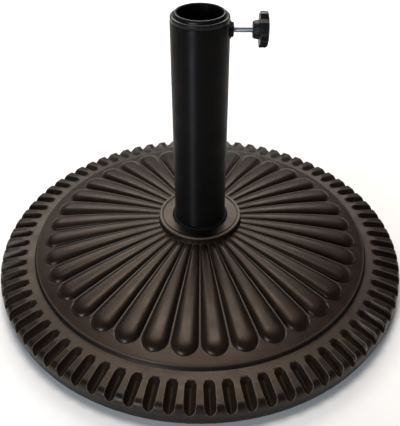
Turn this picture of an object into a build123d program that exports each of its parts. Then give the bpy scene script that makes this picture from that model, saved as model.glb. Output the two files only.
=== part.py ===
"""Parasol base: a resin shell filled with concrete, with a steel stem tube and a clamp screw.

Millimetres, +Z up. The origin is on the ground under the centre of the disc. The clamp screw points to +X.
"""

from build123d import *
from math import cos, radians, sin, tan
import os

# ---- Driving dimensions ----
DISC_R = 247.5  # widest radius of the shell
TOTAL_H = 319.0  # ground to the top of the collar
TUBE_R = 30.0
TUBE_WALL = 1.5
POLE_BORE_R = 22.6  # collar and seat bores, for poles up to 45 mm

# Shell
SHELL_FOOT_Z = 1.0  # lower edge of the skirt, clear of the ground
WIDEST_Z = 13.0
RIM_R, RIM_Z = 246.8, 24.4  # corner between the side and the rim band
BAND_R, BAND_Z = 224.0, 28.4  # where the rim band starts to fall
STEP_R, STEP_LOW_Z, STEP_HIGH_Z = 204.3, 29.4, 34.8
STEP_RUN = 1.8  # how far the step's top stands in from its foot
HUB_R, HUB_FOOT_Z, HUB_TOP_Z, HUB_FACE_Z = 49.9, 60.3, 70.5, 69.7
HUB_LIP_R = 45.8  # inner edge of the beaded lip
HUB_HOLE_R = 32.0
DOME_R = 125.0  # the dome is two cones that meet here
DOME_Z = 50.6

# Flutes: tongues that stand proud of the dome, tapered towards the hub, with a ball end
FLUTES = 36
FLUTE_END_R = 192.0
FLUTE_HALF_W = 13.6
FLUTE_H = 4.8
FLUTE_START_R = 47.2
FLUTE_ROOT = 1.2  # how far a flute's underside is sunk in the dome, at its outer end

# Grooves across the rim
GROOVES = 76
GROOVE_R = 6.2
GROOVE_START_R = 224.0
GROOVE_AXIS_Z = 29.4
GROOVE_TILT = 17.0  # degrees down towards the edge

# Cavity of the shell and what fills it
CAVITY_R = 242.0
CAVITY_TOP_Z = 65.7
HUB_CAVITY_R = 46.1
WALL = 4.1
COVER_Z, COVER_T, COVER_R = 3.0, 3.0, 241.4
CORE_Z = COVER_Z + COVER_T
CORE_GAP = 0.25
PLATE_Z, PLATE_T, PLATE_R = 20.0, 4.0, 56.0
POCKET_R = 62.0
SLEEVE_IN_R, SLEEVE_OUT_R = 31.0, 33.2
ANCHORS, ANCHOR_PITCH_R, ANCHOR_R = 3, 44.0, 4.0
ANCHOR_LOW_Z, ANCHOR_HEAD_Z, ANCHOR_HEAD_H = 10.0, 42.0, 5.3
ANCHOR_FLATS = 13.0
NUT_H, WASHER_T, WASHER_R = 6.5, 1.6, 8.0
SCREWS, SCREW_PITCH_R, SCREW_R = 6, 234.5, 2.0
BOSS_R, BOSS_TOP_Z = 6.0, 13.0
FEET, FOOT_PITCH_R, FOOT_R = 6, 195.0, 11.0
FILL_X, FILL_Y, FILL_R = 0.0, 125.0, 16.0

# Tube head and clamp screw
FLANGE_Z = TOTAL_H - 8.0  # top of the tube, under the collar's flange
PLUG_LOW_Z = FLANGE_Z - 26.0
SCREW_Z = TOTAL_H - 18.0
ROD_R = 3.0
NUT_FLATS, NUT_FACE_X = 14.0, 33.3
PAD_R, PAD_FACE_X, PAD_BACK_X = 6.5, 24.0, 27.4
PAD_WINDOW_R = 8.0
BOSS_X, HEAD_X, KNOB_END_X = 51.8, 58.3, 67.7
KNOB_BOSS_R, KNOB_R = 8.8, 17.6
KNOB_LOBES, SCALLOP_R = 6, 6.2
CAP_R = 8.6
BOLT_HEAD_X, BOLT_HEAD_H, BOLT_FLATS = 60.8, 4.0, 10.0

LOW = (Align.CENTER, Align.CENTER, Align.MIN)
FRONT = -90.0  # degrees; both patterns are symmetric about the front


def outline(points):
    """A closed flat face in the XZ plane from (r, z) or (r, z, fillet radius) corners."""
    corners = [(Vector(p[0], 0, p[1]), p[2] if len(p) > 2 else 0) for p in points]
    ends, arcs = [], []
    for i, (here, radius) in enumerate(corners):
        back = (corners[i - 1][0] - here).normalized()
        ahead = (corners[(i + 1) % len(corners)][0] - here).normalized()
        if radius == 0:
            ends.append((here, here))
            continue
        half = radians(back.get_angle(ahead)) / 2
        reach = radius / tan(half)
        middle = here + (back + ahead).normalized() * (radius / sin(half) - radius)
        ends.append((here + back * reach, here + ahead * reach))
        arcs.append(ThreePointArc(ends[-1][0], middle, ends[-1][1]))
    lines = []
    for i, (_, start) in enumerate(ends):
        finish = ends[(i + 1) % len(ends)][0]
        lines.append(Line(start, finish))
    return Face(Wire(lines + arcs))


def turned(points):
    """A solid of revolution about Z from (r, z) corners."""
    return revolve(outline(points), Axis.Z)


def ring(inner, outer, low, high):
    return turned([(inner, low), (outer, low), (outer, high), (inner, high)])


def rod(radius, low, high, x=0.0, y=0.0):
    return Pos(x, y, low) * Cylinder(radius, high - low, align=LOW)


def hexagon(flats, low, high):
    return Pos(0, 0, low) * extrude(RegularPolygon(flats / 2, 6, major_radius=False), high - low)


def around(shape, count, start=0.0):
    """Equally spaced copies of a shape about Z."""
    return [Rot(0, 0, start + 360 * i / count) * shape for i in range(count)]


def along_x(shape):
    """Moves a shape drawn along Z to the clamp screw's axis, with its Z as +X."""
    return Plane(origin=(0, 0, SCREW_Z), x_dir=(0, 1, 0), z_dir=(1, 0, 0)) * shape


def group(shapes):
    return Compound(children=[s for shape in shapes for s in shape.solids()])


# ---- Shell ----
def dome_z(r):
    """Height of the dome's surface between the flutes."""
    if r < DOME_R:
        return DOME_Z + (HUB_FOOT_Z - DOME_Z) * (DOME_R - r) / (DOME_R - HUB_R)
    return DOME_Z + (STEP_HIGH_Z - DOME_Z) * (r - DOME_R) / (STEP_R - STEP_RUN - DOME_R)


def shell_outer():
    return turned([
        (0, SHELL_FOOT_Z),
        (DISC_R - 1.7, SHELL_FOOT_Z, 0.8),
        (DISC_R, WIDEST_Z, 12.0),
        (RIM_R, RIM_Z, 9.0),
        (BAND_R, BAND_Z, 40.0),
        (STEP_R, STEP_LOW_Z, 1.4),
        (STEP_R - STEP_RUN, STEP_HIGH_Z, 1.8),
        (DOME_R, DOME_Z),
        (HUB_R, HUB_FOOT_Z, 1.0),
        (HUB_R - 0.9, HUB_TOP_Z - 2.9, 0.6),
        (HUB_R - 0.2, HUB_TOP_Z, 1.3),
        (HUB_LIP_R + 0.4, HUB_TOP_Z, 0.6),
        (HUB_LIP_R, HUB_FACE_Z),
        (0, HUB_FACE_Z),
    ])


def flute():
    """One flute along +X: two tapered spans with balls between and at the end, cut off under the dome.

    The width and the height both grow in step with the radius, out to the ball's centre.
    """
    ball_r = (FLUTE_HALF_W**2 + FLUTE_H**2) / (2 * FLUTE_H)
    end_r = FLUTE_END_R - FLUTE_HALF_W

    def station(r):
        share = r / end_r
        return Vector(r, 0, dome_z(r) - (ball_r - FLUTE_H) * share), ball_r * share

    def span(first, last):
        (start, start_r), (finish, finish_r) = first, last
        reach = (finish - start).length
        axis = Plane(origin=start, x_dir=(0, 1, 0), z_dir=(finish - start).normalized())
        return axis * Cone(start_r, finish_r, reach, align=LOW)

    inner, middle, outer = station(FLUTE_START_R), station(DOME_R), station(end_r)
    body = span(inner, middle) + span(middle, outer)
    body = body + Pos(middle[0]) * Sphere(middle[1]) + Pos(outer[0]) * Sphere(outer[1])
    root = FLUTE_ROOT / end_r
    low_r, high_r = 0.9 * FLUTE_START_R, FLUTE_END_R + 5
    above = turned([
        (low_r, dome_z(low_r) - root * low_r),
        (DOME_R, DOME_Z - root * DOME_R),
        (high_r, dome_z(high_r) - root * high_r),
        (high_r, HUB_TOP_Z),
        (low_r, HUB_TOP_Z),
    ])
    return body & above


def groove():
    """One round-bottomed groove along +X that runs off over the edge."""
    tilt = radians(GROOVE_TILT)
    axis = Plane(
        origin=(GROOVE_START_R, 0, GROOVE_AXIS_Z), x_dir=(0, 1, 0), z_dir=(cos(tilt), 0, -sin(tilt))
    )
    return axis * (Cylinder(GROOVE_R, 50, align=LOW) + Sphere(GROOVE_R))


def cavity(gap):
    """The space inside the shell, made smaller by a gap all round."""
    floor_r = STEP_R - 3.3
    return turned([
        (0, -5),
        (CAVITY_R - gap, -5),
        (CAVITY_R + 1.2 - gap, 10.0 - gap, 3.0),
        (235.0 - gap, 13.8 - gap, 4.0),
        (213.0, 20.5 - gap, 6.0),
        (floor_r, dome_z(floor_r) - WALL - gap, 4.0),
        (DOME_R, DOME_Z - WALL - gap),
        (HUB_CAVITY_R - gap, dome_z(HUB_CAVITY_R) - WALL - gap),
        (HUB_CAVITY_R - gap, CAVITY_TOP_Z - gap),
        (0, CAVITY_TOP_Z - gap),
    ])


def base_shell():
    body = shell_outer() + around(flute(), FLUTES, FRONT + 180 / FLUTES)
    body = body - around(groove(), GROOVES, FRONT + 180 / GROOVES)
    body = body - cavity(0)
    body = body - rod(HUB_HOLE_R, CAVITY_TOP_Z - 5, HUB_TOP_Z + 5)
    boss = rod(BOSS_R, CORE_Z, BOSS_TOP_Z + 4, x=SCREW_PITCH_R)
    body = body + around(boss, SCREWS, 30)
    pilot = rod(SCREW_R + 0.1, 0, BOSS_TOP_Z, x=SCREW_PITCH_R)
    return body - around(pilot, SCREWS, 30)


# ---- Inside and under the shell ----
def anchor_places():
    return [Rot(0, 0, 30 + 360 * i / ANCHORS) * Pos(ANCHOR_PITCH_R, 0, 0) for i in range(ANCHORS)]


def anchor_bolt(clearance=0.0):
    shank = rod(ANCHOR_R + clearance, ANCHOR_LOW_Z, ANCHOR_HEAD_Z)
    head_top = ANCHOR_HEAD_Z + ANCHOR_HEAD_H + clearance
    return shank + hexagon(ANCHOR_FLATS + 2 * clearance, ANCHOR_HEAD_Z - clearance, head_top)


def concrete_core():
    above_cover = Pos(0, 0, CORE_Z) * Cylinder(DISC_R + 20, 100, align=LOW)
    body = cavity(CORE_GAP) & above_cover
    body = body - rod(SLEEVE_OUT_R + 0.1, 0, TOTAL_H)
    body = body - rod(POCKET_R, 0, PLATE_Z + PLATE_T)
    body = body - [place * anchor_bolt(0.1) for place in anchor_places()]
    body = body - around(rod(BOSS_R + 0.4, 0, BOSS_TOP_Z + 4.4, x=SCREW_PITCH_R), SCREWS, 30)
    return body - rod(FILL_R + 3, 0, CORE_Z + 4, FILL_X, FILL_Y)


def bottom_cover():
    body = turned([
        (0, COVER_Z),
        (COVER_R, COVER_Z, 0.8),
        (COVER_R, CORE_Z),
        (0, CORE_Z),
    ])
    body = body - rod(FILL_R, 0, 20, FILL_X, FILL_Y)
    return body - around(rod(SCREW_R + 0.3, 0, 20, x=SCREW_PITCH_R), SCREWS, 30)


def fill_plug():
    body = turned([
        (0, COVER_Z - 1.4),
        (FILL_R + 3, COVER_Z - 1.4, 0.6),
        (FILL_R + 3, COVER_Z),
        (FILL_R - 0.2, COVER_Z),
        (FILL_R - 0.2, CORE_Z),
        (FILL_R + 0.5, CORE_Z + 0.3),
        (FILL_R - 0.6, CORE_Z + 3.0),
        (FILL_R - 2.5, CORE_Z + 3.0),
        (FILL_R - 2.5, COVER_Z + 1.0),
        (0, COVER_Z + 1.0),
    ])
    return Pos(FILL_X, FILL_Y, 0) * body


def cover_screw():
    head = turned([(0, COVER_Z - 1.9), (3.9, COVER_Z - 1.9, 1.0), (3.9, COVER_Z), (0, COVER_Z)])
    cross = Box(4.2, 0.9, 2, align=LOW) + Box(0.9, 4.2, 2, align=LOW)
    body = head + rod(SCREW_R, COVER_Z, BOSS_TOP_Z - 1)
    return Pos(SCREW_PITCH_R, 0, 0) * (body - Pos(0, 0, COVER_Z - 2.9) * cross)


def rubber_foot():
    body = turned([(0, 0), (FOOT_R, 0, 0.8), (FOOT_R + 0.6, COVER_Z), (0, COVER_Z)])
    dimple = rod(4.0, -1, 1.0)
    return Pos(FOOT_PITCH_R, 0, 0) * (body - dimple)


def foot_plate():
    body = turned([
        (0, PLATE_Z),
        (PLATE_R, PLATE_Z, 0.5),
        (PLATE_R, PLATE_Z + PLATE_T),
        (0, PLATE_Z + PLATE_T),
    ])
    body = body - rod(6.0, 0, PLATE_Z + 10)
    return body - [place * rod(ANCHOR_R + 0.4, 0, PLATE_Z + 10) for place in anchor_places()]


def anchor_washer():
    high = PLATE_Z
    return ring(ANCHOR_R + 0.3, WASHER_R, high - WASHER_T, high)


def anchor_nut():
    high = PLATE_Z - WASHER_T
    return hexagon(ANCHOR_FLATS, high - NUT_H, high) - rod(ANCHOR_R + 0.05, 0, PLATE_Z)


def socket_sleeve():
    low, high = PLATE_Z + PLATE_T, CAVITY_TOP_Z
    return ring(SLEEVE_IN_R, SLEEVE_OUT_R, low, high)


# ---- Stem ----
def tube():
    body = ring(TUBE_R - TUBE_WALL, TUBE_R, PLATE_Z + PLATE_T, FLANGE_Z)
    return body - along_x(rod(ROD_R + 0.5, 0, 60))


def tube_seal_ring():
    return turned([
        (TUBE_R + 0.05, CAVITY_TOP_Z + 0.4),
        (HUB_HOLE_R - 0.1, CAVITY_TOP_Z + 0.4),
        (HUB_HOLE_R - 0.1, HUB_FACE_Z),
        (TUBE_R + 3.2, HUB_FACE_Z),
        (TUBE_R + 3.0, HUB_FACE_Z + 1.5, 0.6),
        (TUBE_R + 0.05, HUB_FACE_Z + 2.4),
    ])


def pole_seat():
    low = PLATE_Z + PLATE_T
    return turned([
        (5.0, low),
        (TUBE_R - TUBE_WALL - 0.15, low),
        (TUBE_R - TUBE_WALL - 0.15, low + 26, 0.8),
        (POLE_BORE_R + 3.0, low + 26),
        (POLE_BORE_R, low + 22),
        (POLE_BORE_R, low + 3),
        (5.0, low + 3),
    ])


def top_collar():
    inner_tube_r = TUBE_R - TUBE_WALL - 0.1
    body = turned([
        (POLE_BORE_R, PLUG_LOW_Z),
        (inner_tube_r - 1.0, PLUG_LOW_Z),
        (inner_tube_r, PLUG_LOW_Z + 2),
        (inner_tube_r, FLANGE_Z),
        (TUBE_R - 0.3, FLANGE_Z),
        (TUBE_R - 0.3, FLANGE_Z + 4.6, 1.2),
        (TUBE_R - 2.6, FLANGE_Z + 5.0),
        (TUBE_R - 2.9, FLANGE_Z + 4.5),
        (TUBE_R - 3.4, FLANGE_Z + 4.5),
        (TUBE_R - 3.7, FLANGE_Z + 6.4, 0.6),
        (POLE_BORE_R + 2.6, TOTAL_H, 1.0),
        (POLE_BORE_R + 1.0, TOTAL_H, 0.4),
        (POLE_BORE_R, TOTAL_H - 1.4),
    ])
    return body - along_x(rod(PAD_WINDOW_R, 15, 60))


# ---- Clamp screw, drawn along Z and then laid along +X ----
def weld_nut():
    body = hexagon(NUT_FLATS, 26, NUT_FACE_X) & turned([
        (0, 26),
        (NUT_FLATS, 26),
        (NUT_FLATS, NUT_FACE_X - 2.6),
        (NUT_FLATS / 2 - 0.3, NUT_FACE_X),
        (0, NUT_FACE_X),
    ])
    body = along_x(body - rod(ROD_R + 0.05, 0, 60))
    return body - rod(TUBE_R + 0.02, 0, TOTAL_H)


def pressure_pad():
    body = turned([
        (0, PAD_FACE_X),
        (PAD_R, PAD_FACE_X, 0.8),
        (PAD_R, PAD_BACK_X, 0.4),
        (2.1, PAD_BACK_X),
        (2.1, PAD_BACK_X - 0.9),
        (2.75, PAD_BACK_X - 0.9),
        (2.75, PAD_BACK_X - 2.1),
        (0, PAD_BACK_X - 2.1),
    ])
    return along_x(body)


def clamp_bolt():
    tip_x = PAD_BACK_X - 2.05
    body = turned([
        (0, tip_x),
        (2.7, tip_x, 0.3),
        (2.7, PAD_BACK_X - 0.95),
        (2.05, PAD_BACK_X - 0.95),
        (2.05, PAD_BACK_X + 0.05),
        (ROD_R - 0.5, PAD_BACK_X + 0.05),
        (ROD_R, PAD_BACK_X + 0.55),
        (ROD_R, BOLT_HEAD_X),
        (0, BOLT_HEAD_X),
    ])
    return along_x(body + hexagon(BOLT_FLATS, BOLT_HEAD_X, BOLT_HEAD_X + BOLT_HEAD_H))


def knob():
    cap_floor = BOLT_HEAD_X + BOLT_HEAD_H
    body = turned([
        (0, BOSS_X),
        (KNOB_BOSS_R - 1.2, BOSS_X, 0.8),
        (KNOB_BOSS_R, BOSS_X + 1.4),
        (KNOB_BOSS_R + 0.6, HEAD_X - 0.6, 0.5),
        (KNOB_R, HEAD_X, 2.2),
        (KNOB_R, KNOB_END_X, 2.6),
        (CAP_R + 3.0, KNOB_END_X, 0.8),
        (CAP_R + 2.2, KNOB_END_X - 0.8),
        (0, KNOB_END_X - 0.8),
    ])
    scallop = rod(SCALLOP_R, HEAD_X - 0.4, KNOB_END_X + 1, x=KNOB_R + 3.2)
    body = body - around(scallop, KNOB_LOBES)
    body = body - rod(ROD_R + 0.02, BOSS_X - 1, BOLT_HEAD_X)
    body = body - hexagon(BOLT_FLATS + 0.04, BOLT_HEAD_X, cap_floor)
    return along_x(body - rod(CAP_R, cap_floor, KNOB_END_X + 1))


def knob_cap():
    floor_x = BOLT_HEAD_X + BOLT_HEAD_H
    body = turned([
        (0, floor_x),
        (CAP_R - 0.1, floor_x),
        (CAP_R - 0.1, KNOB_END_X - 0.9, 0.8),
        (0, KNOB_END_X - 0.5),
    ])
    return along_x(body)


PARTS = {
    "base_shell": base_shell(),
    "concrete_core": concrete_core(),
    "bottom_cover": bottom_cover(),
    "fill_plug": fill_plug(),
    "cover_screws": group(around(cover_screw(), SCREWS, 30)),
    "rubber_feet": group(around(rubber_foot(), FEET)),
    "foot_plate": foot_plate(),
    "anchor_bolts": group([place * anchor_bolt() for place in anchor_places()]),
    "anchor_washers": group([place * anchor_washer() for place in anchor_places()]),
    "anchor_nuts": group([place * anchor_nut() for place in anchor_places()]),
    "socket_sleeve": socket_sleeve(),
    "tube": tube(),
    "tube_seal_ring": tube_seal_ring(),
    "pole_seat": pole_seat(),
    "top_collar": top_collar(),
    "weld_nut": weld_nut(),
    "pressure_pad": pressure_pad(),
    "clamp_bolt": clamp_bolt(),
    "knob": knob(),
    "knob_cap": knob_cap(),
}

os.makedirs("parts", exist_ok=True)
for name, shape in PARTS.items():
    export_step(shape, f"parts/{name}.step")
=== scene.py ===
"""Looks of the parasol base: its visible pieces as fine meshes with procedural materials, light and camera.

Metres, in the frame's own coordinates: the origin is on the ground under the centre, the clamp screw is
towards +X and the camera stands towards -Y.
"""

import bmesh
import bpy
import numpy as np
from math import asin, cos, pi, radians, sin, sqrt, tan
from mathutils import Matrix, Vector


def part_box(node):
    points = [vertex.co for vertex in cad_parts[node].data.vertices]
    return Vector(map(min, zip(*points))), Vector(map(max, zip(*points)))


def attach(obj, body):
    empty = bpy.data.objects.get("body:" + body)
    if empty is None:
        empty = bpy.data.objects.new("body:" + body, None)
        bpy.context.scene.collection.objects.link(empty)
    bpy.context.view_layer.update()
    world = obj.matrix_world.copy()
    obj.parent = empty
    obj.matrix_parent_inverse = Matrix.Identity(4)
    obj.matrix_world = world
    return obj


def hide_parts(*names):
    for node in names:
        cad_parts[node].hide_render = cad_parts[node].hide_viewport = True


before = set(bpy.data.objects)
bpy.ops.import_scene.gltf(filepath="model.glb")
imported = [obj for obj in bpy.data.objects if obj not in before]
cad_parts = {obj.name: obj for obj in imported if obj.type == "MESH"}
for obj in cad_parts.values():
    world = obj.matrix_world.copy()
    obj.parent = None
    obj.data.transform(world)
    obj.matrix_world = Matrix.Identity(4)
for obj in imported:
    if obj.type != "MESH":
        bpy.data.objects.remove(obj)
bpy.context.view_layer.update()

MM = 0.001
SCENE = bpy.context.scene

# ---- Sizes read from the frame ----
SHELL_LOW, SHELL_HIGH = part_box("base_shell")
TUBE_LOW, TUBE_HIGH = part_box("tube")
COLLAR_LOW, COLLAR_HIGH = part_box("top_collar")
SEAL_LOW, SEAL_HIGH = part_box("tube_seal_ring")
NUT_LOW, NUT_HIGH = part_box("weld_nut")
BOLT_LOW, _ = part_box("clamp_bolt")
KNOB_LOW, KNOB_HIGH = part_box("knob")
CAP_LOW, CAP_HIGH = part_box("knob_cap")

DISC_R = SHELL_HIGH[1]
TUBE_R = TUBE_HIGH[1]
SCREW_Z = (KNOB_LOW[2] + KNOB_HIGH[2]) / 2

# ---- Shell, from its radius and its lowest and highest points ----
FOOT_Z, TOP_Z = SHELL_LOW[2], SHELL_HIGH[2]
RIM_R, RIM_Z = DISC_R - 0.7 * MM, TOP_Z - 46.1 * MM
BAND_R, BAND_Z = DISC_R - 23.5 * MM, TOP_Z - 42.1 * MM
STEP_R, STEP_LOW_Z, STEP_HIGH_Z = DISC_R - 43.2 * MM, TOP_Z - 41.1 * MM, TOP_Z - 35.7 * MM
STEP_RUN = 1.8 * MM
HUB_R, HUB_FOOT_Z, HUB_FACE_Z = 49.9 * MM, TOP_Z - 10.2 * MM, TOP_Z - 0.8 * MM
HUB_LIP_R, HUB_HOLE_R, HUB_FADE = 45.8 * MM, 32.0 * MM, 3.0 * MM
DOME_R, DOME_Z = 125.0 * MM, TOP_Z - 19.9 * MM
FLUTES, FLUTE_END_R, FLUTE_HALF_W, FLUTE_H = 36, 192.0 * MM, 13.6 * MM, 5.2 * MM
FLUTE_CENTRE_R, NOTCH_DEPTH, NOTCH_SHARE = FLUTE_END_R - FLUTE_HALF_W, 1.5 * MM, 0.1
FLUTE_BULGE, FLUTE_SHOULDER = 2.8, 0.52  # exponents of a flute's cross-section
GROOVES, GROOVE_HALF_W, GROOVE_IN_R, GROOVE_CORNER = 76, 6.2 * MM, 217.8 * MM, 2.2 * MM
GROOVE_FLAT, GROOVE_DEPTH, GROOVE_END_SLOPE = 0.8 * MM, 5.4 * MM, 4.5
GROOVE_BULGE, GROOVE_SHOULDER = 1.15, 0.55  # exponents of a groove's cross-section
GROOVE_END_BLEND, GROOVE_LIP_BLEND = 1.2 * MM, 1.3 * MM
GROOVE_TILT, BAND_TILT = radians(17.0), radians(10.0)
FLUTE_COLUMNS, GROOVE_COLUMNS = 57, 27  # mesh columns of one flute and of one groove
FLAT_BEND, EDGE_BEND = 300.0, 950.0  # curvatures, per metre, where the pale edges (partly wear, partly painted highlight) begin and where they are full
TINY = 1e-12  # keeps lengths that are divided by above zero

# ---- Stem and clamp screw ----
TUBE_WALL, POLE_R = 1.5 * MM, 22.6 * MM
ROD_R, THREAD_PITCH, THREAD_DEPTH, PAD_WINDOW_R = 3.0 * MM, 1.0 * MM, 0.36 * MM, 8.0 * MM
KNOB_R, KNOB_LOBES, SCALLOP_R, SCALLOP_AT = 17.6 * MM, 6, 6.2 * MM, 20.8 * MM
FRONT = -pi / 2


# ---- Mesh helpers ----
def add_mesh(name, verts, faces):
    """A new object with a smooth-shaded mesh."""
    mesh = bpy.data.meshes.new(name)
    mesh.from_pydata(verts, [], faces)
    mesh.validate()
    mesh.polygons.foreach_set("use_smooth", [True] * len(mesh.polygons))
    mesh.update()
    piece = bpy.data.objects.new(name, mesh)
    SCENE.collection.objects.link(piece)
    return piece


def finish_piece(piece, body, slot, material, *nodes):
    """Gives a piece its material and body, and hides the CAD nodes that it stands for."""
    piece.data.materials.clear()
    piece.data.materials.append(material)
    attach(piece, body)
    if nodes:
        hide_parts(*nodes)
    return piece


def rounded(corners, step=0.35 * MM):
    """Points along a closed outline of (r, z) or (r, z, fillet radius) corners, with round fillets."""
    points = []
    count = len(corners)
    for i, corner in enumerate(corners):
        here = Vector(corner[:2])
        radius = corner[2] if len(corner) > 2 else 0
        back = (Vector(corners[i - 1][:2]) - here).normalized()
        ahead = (Vector(corners[(i + 1) % count][:2]) - here).normalized()
        half = back.angle(ahead) / 2
        if radius == 0:
            points.append(here)
            continue
        centre = here + (back + ahead).normalized() * (radius / sin(half))
        start = here + back * (radius / tan(half)) - centre
        sweep = (pi - 2 * half) * (1 if back.cross(ahead) < 0 else -1)
        pieces = max(3, int(radius * abs(sweep) / step) + 1)
        for k in range(pieces + 1):
            turn = sweep * k / pieces
            spoke = Vector((
                start.x * cos(turn) - start.y * sin(turn),
                start.x * sin(turn) + start.y * cos(turn),
            ))
            points.append(centre + spoke)
    return points


def grid_faces(rows, columns, wrap_rows):
    """Quads of a grid whose columns close on themselves, and whose rows may."""
    faces = []
    for i in range(rows if wrap_rows else rows - 1):
        low, high = i * columns, (i + 1) % rows * columns
        for j in range(columns):
            after = (j + 1) % columns
            faces.append((low + j, low + after, high + after, high + j))
    return faces


def lathe(name, corners, segments):
    """A closed ring turned about Z from an outline that runs anticlockwise in (r, z)."""
    outline = rounded(corners)
    verts = []
    for p in outline:
        for j in range(segments):
            angle = 2 * pi * j / segments
            verts.append((p.x * cos(angle), p.x * sin(angle), p.y))
    return add_mesh(name, verts, grid_faces(len(outline), segments, True))


def sharpen(piece, degrees):
    """Smooth shading with crisp edges where faces meet at more than the angle."""
    edges = bmesh.new()
    edges.from_mesh(piece.data)
    for edge in edges.edges:
        if len(edge.link_faces) == 2:
            edge.smooth = edge.calc_face_angle() < radians(degrees)
    edges.to_mesh(piece.data)
    edges.free()


# ---- Camera and light ----
CAMERA_BACK, CAMERA_UP = 2.328 * DISC_R, 2.136 * DISC_R
CAMERA_PITCH = 0.673
FOCAL_SHARE = 600 / 426  # focal length over the frame's longer side
SENSOR = 36.0

camera = bpy.data.objects.new("camera", bpy.data.cameras.new("camera"))
camera.data.sensor_width = SENSOR
camera.data.lens = SENSOR * FOCAL_SHARE
camera.location = (0, -CAMERA_BACK, CAMERA_UP)
camera.rotation_euler = (pi / 2 - CAMERA_PITCH, 0, 0)
SCENE.collection.objects.link(camera)
SCENE.camera = camera


def area_light(name, place, target, size, watts, colour):
    """A rectangular lamp aimed at a target."""
    lamp = bpy.data.lights.new(name, "AREA")
    lamp.shape = "RECTANGLE"
    lamp.size, lamp.size_y = size
    lamp.energy = watts
    lamp.color = colour
    light = bpy.data.objects.new(name, lamp)
    light.location = place
    aim = Vector(target) - Vector(place)
    light.rotation_euler = aim.to_track_quat("-Z", "Y").to_euler()
    SCENE.collection.objects.link(light)


WARM, COOL = (1.0, 0.95, 0.90), (0.76, 0.87, 1.0)
area_light("key", (-0.15, 1.8, 1.5), (0, 0, 0.05), (2.4, 0.7), 40, WARM)
area_light("top", (-0.1, 0.8, 2.5), (0, 0, 0.0), (1.4, 0.9), 45, WARM)
area_light("window", (-0.9, -1.6, 0.45), (0, 0, 0.15), (0.4, 0.6), 21, COOL)

world = bpy.data.worlds.new("studio")
SCENE.world = world
world.use_nodes = True
world.node_tree.nodes["Background"].inputs["Color"].default_value = (1.0, 0.93, 0.86, 1)
world.node_tree.nodes["Background"].inputs["Strength"].default_value = 0.08
SCENE.view_settings.view_transform = "Standard"


# ---- Materials ----
def new_material(name):
    """A new material with its node tree, its Principled shader and a link function."""
    material = bpy.data.materials.new(name)
    material.use_nodes = True
    tree = material.node_tree
    return material, tree, tree.nodes["Principled BSDF"], tree.links.new


def noise(tree, scale, detail=4.0, roughness=0.5):
    """Noise in the object's own metres, as its factor output."""
    place = tree.nodes.new("ShaderNodeTexCoord")
    cloud = tree.nodes.new("ShaderNodeTexNoise")
    cloud.inputs["Scale"].default_value = scale
    cloud.inputs["Detail"].default_value = detail
    cloud.inputs["Roughness"].default_value = roughness
    tree.links.new(place.outputs["Object"], cloud.inputs["Vector"])
    return cloud.outputs["Fac"]


def spread(tree, factor, low, high, start=0.3, end=0.7):
    """Maps a factor's start to end range onto low to high."""
    ramp = tree.nodes.new("ShaderNodeMapRange")
    ramp.inputs["From Min"].default_value = start
    ramp.inputs["From Max"].default_value = end
    ramp.inputs["To Min"].default_value = low
    ramp.inputs["To Max"].default_value = high
    tree.links.new(factor, ramp.inputs["Value"])
    return ramp.outputs["Result"]


def blend_colours(tree, factor, first, second):
    """A colour between two, each an RGB triple or an output socket."""
    mix = tree.nodes.new("ShaderNodeMix")
    mix.data_type = "RGBA"
    tree.links.new(factor, mix.inputs["Factor"])
    for socket, colour in ((mix.inputs[6], first), (mix.inputs[7], second)):
        if isinstance(colour, tuple):
            socket.default_value = (*colour, 1)
        else:
            tree.links.new(colour, socket)
    return mix.outputs[2]


def bump(tree, height, distance, under=None):
    """A normal that follows a height factor, on top of another normal if one is given."""
    node = tree.nodes.new("ShaderNodeBump")
    node.inputs["Strength"].default_value = 1.0
    node.inputs["Distance"].default_value = distance
    tree.links.new(height, node.inputs["Height"])
    if under is not None:
        tree.links.new(under, node.inputs["Normal"])
    return node.outputs["Normal"]


def worn_edges(tree):
    """0 on flats, rising to 1 on convex edges."""
    geometry = tree.nodes.new("ShaderNodeNewGeometry")
    return spread(tree, geometry.outputs["Pointiness"], 0.0, 1.0, 0.509, 0.548)


def marked_wear_and_highlight(tree):
    """The edge paleness stored on the shell's mesh: partly wear, partly painted highlight standing in for
    the glints on its lips and edges.
    """
    mark = tree.nodes.new("ShaderNodeAttribute")
    mark.attribute_name = "edge_paleness"
    return mark.outputs["Fac"]


def coated(name, dark, light, roughness, grain, grain_depth, edge=None, edge_paleness=0.3, shine=0.5, tint=None,
           drawn=0.0, pale_edge_mask=worn_edges):
    """A painted or moulded surface: mottled colour, uneven gloss, fine grain and paler edges."""
    material, tree, shader, link = new_material(name)
    mottle = spread(tree, noise(tree, 22, 5, 0.6), 0.0, 1.0)
    colour = blend_colours(tree, mottle, dark, light)
    if edge is not None:
        # Paler edges: wear, and on the shell also painted highlight along its lips and edges
        pale_edge_mix = tree.nodes.new("ShaderNodeMath")
        pale_edge_mix.operation = "MULTIPLY"
        pale_edge_mix.inputs[1].default_value = edge_paleness
        link(pale_edge_mask(tree), pale_edge_mix.inputs[0])
        colour = blend_colours(tree, pale_edge_mix.outputs[0], colour, edge)
    link(colour, shader.inputs["Base Color"])
    link(spread(tree, noise(tree, 60, 3), roughness - 0.05, roughness + 0.06), shader.inputs["Roughness"])
    fine = bump(tree, noise(tree, grain, 3, 0.6), grain_depth)
    wide = bump(tree, noise(tree, grain / 9, 2), grain_depth * 2, under=fine)
    link(wide, shader.inputs["Normal"])
    shader.inputs["Specular IOR Level"].default_value = shine
    if tint is not None:
        shader.inputs["Specular Tint"].default_value = (*tint, 1)
    if drawn:
        around = tree.nodes.new("ShaderNodeTangent")
        around.direction_type = "RADIAL"
        around.axis = "Z"
        shader.inputs["Anisotropic"].default_value = drawn
        link(around.outputs["Tangent"], shader.inputs["Tangent"])
        shader.inputs["Anisotropic Rotation"].default_value = 0.25  # a quarter turn
    return material


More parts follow.
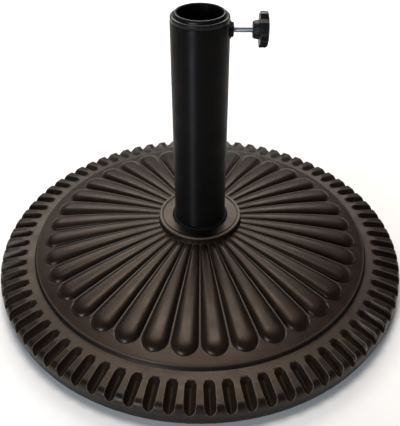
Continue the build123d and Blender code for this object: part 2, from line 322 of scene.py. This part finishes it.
def metal(name, colour, roughness):
    """Bare or plated steel with a fine grain and faint tarnish."""
    material, tree, shader, link = new_material(name)
    tarnish = spread(tree, noise(tree, 90, 4), 0.0, 1.0)
    darker = tuple(0.8 * c for c in colour)
    link(blend_colours(tree, tarnish, darker, colour), shader.inputs["Base Color"])
    shader.inputs["Metallic"].default_value = 1.0
    link(spread(tree, noise(tree, 500, 3), roughness - 0.06, roughness + 0.1), shader.inputs["Roughness"])
    link(bump(tree, noise(tree, 1400, 2), 0.02 * MM), shader.inputs["Normal"])
    return material


def rough_concrete(name):
    """Grey concrete with a coarse grain."""
    material, tree, shader, link = new_material(name)
    grains = spread(tree, noise(tree, 160, 6, 0.7), 0.0, 1.0)
    link(blend_colours(tree, grains, (0.30, 0.29, 0.27), (0.48, 0.47, 0.44)), shader.inputs["Base Color"])
    shader.inputs["Roughness"].default_value = 0.92
    link(bump(tree, noise(tree, 260, 6, 0.7), 0.5 * MM), shader.inputs["Normal"])
    return material


# The shell's pale edges are partly wear and partly painted highlight, standing in for the glints on the
# groove lips, flute edges and the step
RESIN = coated("shell_resin", (0.007, 0.0045, 0.0031), (0.012, 0.0078, 0.0055), 0.36, 900, 0.05 * MM,
               edge=(0.15, 0.125, 0.105), edge_paleness=0.85, shine=0.25, tint=(1.0, 0.80, 0.64), pale_edge_mask=marked_wear_and_highlight)
BLACK_STEEL = coated("black_steel", (0.0033, 0.0028, 0.0026), (0.0052, 0.0045, 0.0041), 0.42, 1500,
                     0.02 * MM, shine=0.095, drawn=0.85)
COLLAR = coated("collar_plastic", (0.004, 0.004, 0.0042), (0.006, 0.006, 0.0064), 0.30, 1800, 0.02 * MM,
                edge=(0.03, 0.03, 0.032), edge_paleness=0.1, shine=0.15)
KNOB = coated("knob_plastic", (0.006, 0.0065, 0.006), (0.010, 0.011, 0.010), 0.38, 1700, 0.03 * MM,
              edge=(0.04, 0.04, 0.04), edge_paleness=0.2, shine=0.2)
COVER = coated("cover_plastic", (0.014, 0.014, 0.015), (0.022, 0.022, 0.023), 0.6, 1100, 0.06 * MM)
RUBBER = coated("rubber", (0.006, 0.006, 0.006), (0.010, 0.010, 0.010), 0.7, 1300, 0.05 * MM, shine=0.1)
ZINC = metal("zinc_steel", (0.56, 0.58, 0.61), 0.34)
CONCRETE = rough_concrete("concrete")


# ---- Base shell: one closed grid, its columns crowded at the flutes' and the grooves' edges ----
def soft_min(a, b, width):
    """The smaller of two heights, with a small round blend where they meet."""
    h = max(width - abs(a - b), 0.0) / width
    return min(a, b) - h * h * width / 4


def refined(points, spacing):
    """The same open line with more points: spacing(p) gives the longest step at a point."""
    fine = [points[0]]
    for a, b in zip(points, points[1:]):
        steps = max(1, int((b - a).length / spacing((a + b) / 2)) + 1)
        for k in range(1, steps + 1):
            fine.append(a.lerp(b, k / steps))
    return fine


def row_spacing(p):
    """Close rows where flutes or grooves begin and end, wide ones along them."""
    if FLUTE_CENTRE_R - 1 * MM < p.x < FLUTE_END_R + 1.5 * MM:
        return 0.7 * MM
    if GROOVE_IN_R - 1.5 * MM < p.x < GROOVE_IN_R + 3.5 * MM:
        return 0.35 * MM
    if p.x > DISC_R - 11 * MM and p.y > FOOT_Z + 9 * MM:
        return 0.6 * MM
    return 3 * MM


def dome_z(r):
    """Height of the dome between the flutes: a parabola through the hub's foot, the bend and the step."""
    spans = ((HUB_R, HUB_FOOT_Z), (DOME_R, DOME_Z), (STEP_R - STEP_RUN, STEP_HIGH_Z))
    height = 0.0
    for i, (r0, z0) in enumerate(spans):
        (r1, _), (r2, _) = spans[:i] + spans[i + 1:]
        height += z0 * (r - r1) * (r - r2) / ((r0 - r1) * (r0 - r2))
    return height


def shell_outline():
    """Half of the shell's cut through its axis, without flutes and grooves."""
    dome = [(r * MM, dome_z(r * MM)) for r in range(195, 50, -12)]
    inner = [
        (HUB_HOLE_R, TOP_Z - 4.8 * MM),
        (46.1 * MM, TOP_Z - 4.8 * MM),
        (46.1 * MM, TOP_Z - 14.0 * MM),
        (DOME_R, DOME_Z - 4.1 * MM),
        (201 * MM, TOP_Z - 39.5 * MM),
        (213 * MM, TOP_Z - 50 * MM),
        (235 * MM, TOP_Z - 56.7 * MM),
        (243.2 * MM, TOP_Z - 60.5 * MM),
        (242 * MM, FOOT_Z),
    ]
    outer = [
        (DISC_R - 1.7 * MM, FOOT_Z, 0.8 * MM),
        (DISC_R, FOOT_Z + 12 * MM, 12 * MM),
        (RIM_R, RIM_Z, 9 * MM),
        (BAND_R, BAND_Z, 40 * MM),
        (STEP_R, STEP_LOW_Z, 1.4 * MM),
        (STEP_R - STEP_RUN, STEP_HIGH_Z, 1.8 * MM),
        *dome,
        (HUB_R, HUB_FOOT_Z, 1.0 * MM),
        (HUB_R - 0.9 * MM, TOP_Z - 2.9 * MM, 0.6 * MM),
        (HUB_R - 0.2 * MM, TOP_Z, 1.3 * MM),
        (HUB_LIP_R + 0.4 * MM, TOP_Z, 0.6 * MM),
        (HUB_LIP_R, HUB_FACE_Z),
        (HUB_HOLE_R + 0.5 * MM, HUB_FACE_Z),
        (HUB_HOLE_R, HUB_FACE_Z - 0.5 * MM),
    ]
    return rounded(inner + outer)


def flute_turns():
    """Angles of one flute's columns from the gap before it."""
    pitch = 2 * pi / FLUTES
    half = asin(FLUTE_HALF_W / FLUTE_CENTRE_R)
    gap = pitch / 2 - half
    steps = FLUTE_COLUMNS - 6  # the other columns lie in the gaps, and at the flute's last edge
    across = [pitch / 2 + half * sin(pi / 2 * (2 * k / steps - 1)) for k in range(steps + 1)]
    return [0.0, 0.4 * gap, 0.75 * gap] + across + [pitch - 0.75 * gap, pitch - 0.4 * gap]


def flute_height(r, turn):
    """Height of a flute, and of the fine notch round it, at a radius and an angle from its centre."""
    out = r * cos(turn)
    share = min(out / FLUTE_CENTRE_R, 1.0)
    past = max(out - FLUTE_CENTRE_R, 0.0)
    off = sqrt((r * sin(turn)) ** 2 + past**2) / (FLUTE_HALF_W * share)
    notch = NOTCH_DEPTH * sqrt(share) * max(1 - past / FLUTE_HALF_W, 0.0)
    if off < 1:
        return (FLUTE_H * share + notch) * (1 - off**FLUTE_BULGE) ** FLUTE_SHOULDER - notch
    return -notch * max(1 - (off - 1) / NOTCH_SHARE, 0.0)


def groove_half_width(r):
    """Half the width of a groove at a radius, with round corners at its inner end."""
    before = min(max(GROOVE_IN_R + GROOVE_CORNER - r, 0.0), GROOVE_CORNER)
    return GROOVE_HALF_W - GROOVE_CORNER + sqrt(GROOVE_CORNER**2 - before**2)


def groove_across(r):
    """Distances of one groove's columns from its centre, from the middle of the land before it."""
    edge = groove_half_width(r)
    lip = [edge + past * MM for past in (0.1, 0.35, 0.7, 1.2)]
    inside = GROOVE_COLUMNS - 2 * len(lip) - 3  # three columns lie on the lands
    half_pitch = pi * r / GROOVES
    land = (lip[-1] + half_pitch) / 2
    return (
        [-half_pitch, -land] + [-a for a in reversed(lip)]
        + [-edge * cos(pi * (k + 0.5) / inside) for k in range(inside)] + lip + [land]
    )


def groove_z(r, across):
    """Height inside a groove. Past its edges it climbs on steeply, so that a soft minimum rounds the lip."""
    edge = groove_half_width(r)
    side = min(max(abs(across) - GROOVE_FLAT, 0.0) / (edge - GROOVE_FLAT), 1.0)
    floor = BAND_Z - GROOVE_DEPTH - (r - BAND_R) * tan(GROOVE_TILT)
    top = BAND_Z + 1.0 * MM - max(r - BAND_R, 0.0) * tan(BAND_TILT)
    depth = (top - floor) * (1 - side**GROOVE_BULGE) ** GROOVE_SHOULDER
    inside = top - depth + 3 * max(abs(across) - edge, 0.0)
    end = BAND_Z + 0.6 * MM - (r - GROOVE_IN_R) * GROOVE_END_SLOPE
    return -soft_min(-inside, -end, GROOVE_END_BLEND)


def shell_row(p, flute_columns):
    """All the points of one row of the shell's grid."""
    r, z = p
    columns = FLUTES * FLUTE_COLUMNS
    outer = min(max((r - STEP_R) / (GROOVE_IN_R - STEP_R - 4 * MM), 0.0), 1.0)
    across = groove_across(r)
    groove_columns = [pi / GROOVES + asin(a / r) for a in across]
    flute_zs = groove_zs = [z] * FLUTE_COLUMNS
    if HUB_R - 0.2 * MM < r < FLUTE_END_R + 1 * MM and dome_z(r) - 1 * MM < z < HUB_FOOT_Z + 1.2 * MM:
        fade = 1 - max(z - HUB_FOOT_Z, 0.0) / HUB_FADE  # the flutes end against the hub's side
        flute_zs = [z + fade * flute_height(r, turn - pi / FLUTES) for turn in flute_columns]
    if r > GROOVE_IN_R - 2 * MM:
        groove_zs = [soft_min(z, groove_z(r, a), GROOVE_LIP_BLEND) for a in across]
    row = []
    for j in range(columns):
        flute, f = divmod(j, FLUTE_COLUMNS)
        groove, g = divmod(j, GROOVE_COLUMNS)
        turn = 2 * pi * flute / FLUTES + flute_columns[f]
        turn += (2 * pi * groove / GROOVES + groove_columns[g] - turn) * outer
        height = groove_zs[g] if outer == 1 else flute_zs[f]
        row.append((r * cos(FRONT + turn), r * sin(FRONT + turn), height))
    return row


def mark_wear_and_highlight(piece, rows):
    """Stores how pale each vertex of a closed grid is drawn, 0 on flats and 1 on tight convex edges: partly
    wear, partly painted highlight standing in for the glints on lips and edges.
    """
    points = np.array(rows)
    ahead = [np.roll(points, -1, axis) - points for axis in (0, 1)]
    back = [points - np.roll(points, 1, axis) for axis in (0, 1)]
    normal = np.cross(ahead[1] + back[1], ahead[0] + back[0])
    normal /= np.linalg.norm(normal, axis=2, keepdims=True) + TINY
    edge_paleness = np.zeros(points.shape[:2])
    for a, b in zip(ahead, back):
        a_length, b_length = (np.linalg.norm(v, axis=2, keepdims=True) + TINY for v in (a, b))
        bend = ((b / b_length - a / a_length) * normal).sum(2) * 2 / (a_length + b_length)[..., 0]
        edge_paleness = np.maximum(edge_paleness, np.clip((bend - FLAT_BEND) / (EDGE_BEND - FLAT_BEND), 0, 1))
    for axis in (0, 1):
        edge_paleness = edge_paleness / 2 + (np.roll(edge_paleness, 1, axis) + np.roll(edge_paleness, -1, axis)) / 4
    layer = piece.data.attributes.new("edge_paleness", "FLOAT", "POINT")
    layer.data.foreach_set("value", edge_paleness.ravel())


def build_shell():
    """The whole shell, inside and outside, as one closed mesh."""
    outline = shell_outline()
    outline = refined(outline + [outline[0]], row_spacing)[:-1]
    flute_columns = flute_turns()
    rows = [shell_row(p, flute_columns) for p in outline]
    verts = [point for row in rows for point in row]
    shell = add_mesh("base_shell_skin", verts, grid_faces(len(rows), FLUTES * FLUTE_COLUMNS, True))
    mark_wear_and_highlight(shell, rows)
    return shell


finish_piece(build_shell(), "base", "shell_resin", RESIN, "base_shell")

# ---- Stem ----
def ring_about_z(name, corners):
    """A crisp lathed ring of the stem."""
    piece = lathe(name, corners, 192)
    sharpen(piece, 40)
    return piece


def cut(piece, tool):
    """Takes a tool's volume out of a piece, and removes the tool."""
    step = piece.modifiers.new("cut", "BOOLEAN")
    step.operation = "DIFFERENCE"
    step.solver = "EXACT"
    step.object = tool
    bpy.context.view_layer.update()
    shape = bpy.data.meshes.new_from_object(piece.evaluated_get(bpy.context.evaluated_depsgraph_get()))
    piece.modifiers.clear()
    piece.data = shape
    bpy.data.objects.remove(tool)
    sharpen(piece, 40)


def screw_tool(radius, start, end):
    """A closed cylinder on the clamp screw's axis, to cut with."""
    tool = lathe("tool", [(0, start), (radius, start), (radius, end), (0, end)], 64)
    return along_x(tool)


def along_x(piece):
    """Lays a piece drawn along Z on the clamp screw's axis, its Z as +X."""
    for v in piece.data.vertices:
        x, y, z = v.co
        v.co = (z, x, y + SCREW_Z)
    piece.data.update()
    return piece


def build_tube():
    """The stem's tube, with the clamp screw's hole."""
    tube = ring_about_z("stem_tube", [
        (TUBE_R - TUBE_WALL, TUBE_LOW[2]),
        (TUBE_R, TUBE_LOW[2]),
        (TUBE_R, TUBE_HIGH[2], 0.4 * MM),
        (TUBE_R - TUBE_WALL, TUBE_HIGH[2], 0.4 * MM),
    ])
    cut(tube, screw_tool(ROD_R + 0.5 * MM, 20 * MM, 40 * MM))
    return tube


def build_seal():
    """The ring that closes the gap between the hub and the tube."""
    low, high = SEAL_LOW[2], SEAL_HIGH[2]
    face = high - 2.4 * MM
    return ring_about_z("seal_ring", [
        (TUBE_R + 0.05 * MM, low),
        (HUB_HOLE_R - 0.1 * MM, low),
        (HUB_HOLE_R - 0.1 * MM, face),
        (TUBE_R + 3.2 * MM, face),
        (TUBE_R + 3.0 * MM, face + 1.6 * MM, 0.7 * MM),
        (TUBE_R + 0.05 * MM, high, 0.2 * MM),
    ])


def build_collar():
    """The reducing collar with its plug, and the window that the pad comes through."""
    flange, top = TUBE_HIGH[2], COLLAR_HIGH[2]
    plug_r = TUBE_R - TUBE_WALL - 0.1 * MM
    collar = ring_about_z("collar", [
        (POLE_R, COLLAR_LOW[2], 0.5 * MM),
        (plug_r - 1.0 * MM, COLLAR_LOW[2], 0.3 * MM),
        (plug_r, COLLAR_LOW[2] + 2 * MM),
        (plug_r, flange),
        (TUBE_R - 0.3 * MM, flange, 0.3 * MM),
        (TUBE_R - 0.3 * MM, flange + 4.6 * MM, 1.4 * MM),
        (TUBE_R - 2.6 * MM, flange + 5.0 * MM, 0.3 * MM),
        (TUBE_R - 2.9 * MM, flange + 4.5 * MM, 0.15 * MM),
        (TUBE_R - 3.4 * MM, flange + 4.5 * MM, 0.15 * MM),
        (TUBE_R - 3.7 * MM, flange + 6.4 * MM, 0.5 * MM),
        (POLE_R + 2.6 * MM, top, 1.0 * MM),
        (POLE_R + 1.0 * MM, top, 0.5 * MM),
        (POLE_R, top - 1.4 * MM, 0.3 * MM),
    ])
    cut(collar, screw_tool(PAD_WINDOW_R, 15 * MM, 60 * MM))
    return collar


# ---- Clamp screw ----
def hexagon_radius(flats, angle, corner_cut):
    """Distance from a hexagon's centre to its side, its corners turned down to a circle."""
    off_flat = (angle + pi / 6) % (pi / 3) - pi / 6
    return min(flats / 2 / cos(off_flat), flats / 2 / cos(pi / 6) - corner_cut)


def polar_piece(name, outline, columns, place):
    """A closed grid turned about the clamp screw's axis, each point put where place(p, angle) says."""
    verts = [place(p, 2 * pi * j / columns) for p in outline for j in range(columns)]
    piece = add_mesh(name, verts, grid_faces(len(outline), columns, True))
    welded = bmesh.new()
    welded.from_mesh(piece.data)
    bmesh.ops.remove_doubles(welded, verts=welded.verts, dist=1e-7)
    welded.to_mesh(piece.data)
    welded.free()
    return along_x(piece)


def saddle_x(across):
    """How far out the tube's surface is at a distance across from the screw's axis."""
    return sqrt(TUBE_R**2 - across**2)


def build_nut():
    """A hexagonal nut with a domed face, its back shaped to the tube."""
    face = NUT_HIGH[0]
    flats = NUT_HIGH[2] - NUT_LOW[2]
    bore = ROD_R + 0.05 * MM
    outline = [
        (0.0, 0.0), (0.0, 1.0), (0.12, 1.0), (0.5, 1.0), (0.8, 1.0), (0.86, 0.97), (0.93, 0.86),
        (0.985, 0.7), (1.0, 0.55), (1.0, 0.3), (1.0, 0.0), (0.7, 0.0), (0.4, 0.0),
    ]

    def place(p, angle):
        side = hexagon_radius(flats, angle, 0.35 * MM)
        r = bore + (side - bore) * p[0]
        back = saddle_x(r * cos(angle)) + 0.02 * MM
        chamfer = 0.5 * MM if p == (0.0, 1.0) else 0.0
        return (r * cos(angle), r * sin(angle), back + (face - chamfer - back) * p[1])

    nut = polar_piece("clamp_nut", outline, 144, place)
    sharpen(nut, 30)
    return nut


def build_weld_bead():
    """Rippled bead round the nut where it meets the tube."""
    flats = NUT_HIGH[2] - NUT_LOW[2]
    turns = 16
    outline = [(2 * pi * k / turns, 0) for k in range(turns)]

    def place(p, angle):
        ripple = 1 + 0.12 * sin(26 * angle)
        spoke = hexagon_radius(flats, angle, 0.35 * MM) + 0.3 * MM + 1.1 * MM * ripple * cos(p[0])
        return (
            spoke * cos(angle), spoke * sin(angle),
            saddle_x(spoke * cos(angle)) + 0.9 * MM * ripple * sin(p[0]),
        )

    return polar_piece("weld_bead", outline, 208, place)


def build_bolt():
    """The threaded rod, with its swivel tip in the pad."""
    tip = BOLT_LOW[0]
    thread_start, thread_end = tip + 2.4 * MM, KNOB_LOW[0] + 9 * MM
    rows = [(0, tip), (2.4 * MM, tip), (2.7 * MM, tip + 0.3 * MM), (2.7 * MM, tip + 1.1 * MM),
            (2.05 * MM, tip + 1.1 * MM), (2.05 * MM, tip + 2.1 * MM)]
    steps_per_turn = 10
    steps = int((thread_end - thread_start) / THREAD_PITCH * steps_per_turn)
    rows += [(ROD_R, thread_start + THREAD_PITCH * k / steps_per_turn) for k in range(steps + 1)]
    rows += [(0, rows[-1][1])]

    def place(p, angle):
        r, x = p
        if r == ROD_R:
            phase = ((x - thread_start) / THREAD_PITCH - angle / (2 * pi)) % 1.0
            flank = min(abs(phase - 0.5) * 2.3, 1.0)
            run_in = min((x - thread_start) / (0.8 * MM), 1.0)
            r -= THREAD_DEPTH * (1 - flank) + 0.5 * MM * (1 - run_in)
        return (r * cos(angle), r * sin(angle), x)

    return polar_piece("clamp_rod", rows, 40, place)


def knob_rim(angle):
    """Radius of the knob's lobed edge: a circle with a scallop between each two lobes."""
    off = (angle + pi / KNOB_LOBES) % (2 * pi / KNOB_LOBES) - pi / KNOB_LOBES
    inside = SCALLOP_R**2 - (SCALLOP_AT * sin(off))**2
    if inside <= 0:
        return KNOB_R
    scallop = SCALLOP_AT * cos(off) - sqrt(inside)
    return soft_min(KNOB_R, scallop, 1.6 * MM)


def build_knob():
    """The lobed knob with its ribbed boss and the recess for the cap."""
    start, end = KNOB_LOW[0], KNOB_HIGH[0]
    back = start + 6.5 * MM
    cap_r = CAP_HIGH[1] + 0.1 * MM
    outline = rounded([
        (ROD_R + 0.05 * MM, start),
        (7.6 * MM, start, 0.8 * MM),
        (8.7 * MM, start + 1.4 * MM, 0.6 * MM),
        (9.1 * MM, back - 0.3 * MM, 0.8 * MM),
        (11.5 * MM, back, 0.8 * MM),
        (KNOB_R, back + 0.2 * MM, 1.3 * MM),
        (KNOB_R, end - 1.2 * MM, 1.9 * MM),
        (cap_r + 3.0 * MM, end, 1.2 * MM),
        (cap_r + 2.2 * MM, end - 0.8 * MM, 0.3 * MM),
        (cap_r, end - 0.8 * MM, 0.3 * MM),
        (cap_r, CAP_LOW[0]),
        (ROD_R + 0.05 * MM, CAP_LOW[0]),
    ], 0.3 * MM)

    def place(p, angle):
        r, x = p
        if r > 11 * MM:
            r = 11 * MM + (r - 11 * MM) * (knob_rim(angle) - 11 * MM) / (KNOB_R - 11 * MM)
        elif start + 1.6 * MM < x < back - 0.6 * MM and r > 8 * MM:
            r += 0.45 * MM * max(0.0, cos(KNOB_LOBES * 2 * angle)) ** 6
        return (r * cos(angle), r * sin(angle), x)

    knob = polar_piece("star_knob", outline, 288, place)
    sharpen(knob, 50)
    return knob


def build_cap():
    """The disc in the knob's face, with one fine ring."""
    r, low, high = CAP_HIGH[1], CAP_LOW[0], CAP_HIGH[0]
    outline = rounded([
        (0, low), (r, low), (r, high - 0.5 * MM, 0.5 * MM), (r - 2.2 * MM, high - 0.15 * MM, 0.3 * MM),
        (r - 2.6 * MM, high - 0.5 * MM, 0.2 * MM), (r - 3.0 * MM, high - 0.1 * MM, 0.3 * MM), (0, high),
    ])
    cap = polar_piece("knob_disc", outline, 128, lambda p, a: (p[0] * cos(a), p[0] * sin(a), p[1]))
    sharpen(cap, 40)
    return cap


finish_piece(build_tube(), "base", "coated_steel", BLACK_STEEL, "tube")
finish_piece(build_seal(), "base", "rubber", RUBBER, "tube_seal_ring")
finish_piece(build_collar(), "base", "collar_plastic", COLLAR, "top_collar")
finish_piece(build_nut(), "base", "coated_steel", BLACK_STEEL, "weld_nut")
finish_piece(build_weld_bead(), "base", "coated_steel", BLACK_STEEL)
finish_piece(build_bolt(), "clamp_screw", "zinc_steel", ZINC, "clamp_bolt")
finish_piece(build_knob(), "clamp_screw", "knob_plastic", KNOB, "knob")
finish_piece(build_cap(), "clamp_screw", "knob_plastic", KNOB, "knob_cap")

# ---- CAD nodes that keep their shape ----
KEPT = {
    "concrete_core": CONCRETE, "bottom_cover": COVER, "fill_plug": COVER, "cover_screws": ZINC,
    "rubber_feet": RUBBER, "foot_plate": BLACK_STEEL, "anchor_bolts": ZINC, "anchor_washers": ZINC,
    "anchor_nuts": ZINC, "socket_sleeve": COVER, "pole_seat": COVER, "pressure_pad": COLLAR,
}
for node, material in KEPT.items():
    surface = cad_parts[node].data
    surface.materials.clear()
    surface.materials.append(material)

# ---- Floor ----
floor_material, _, floor_shader, _ = new_material("floor")
floor_shader.inputs["Base Color"].default_value = (0.95, 0.95, 0.95, 1)
floor_shader.inputs["Roughness"].default_value = 0.9
floor = add_mesh("floor", [(-6, -6, 0), (6, -6, 0), (6, 6, 0), (-6, 6, 0)], [(0, 1, 2, 3)])
floor.data.materials.append(floor_material)
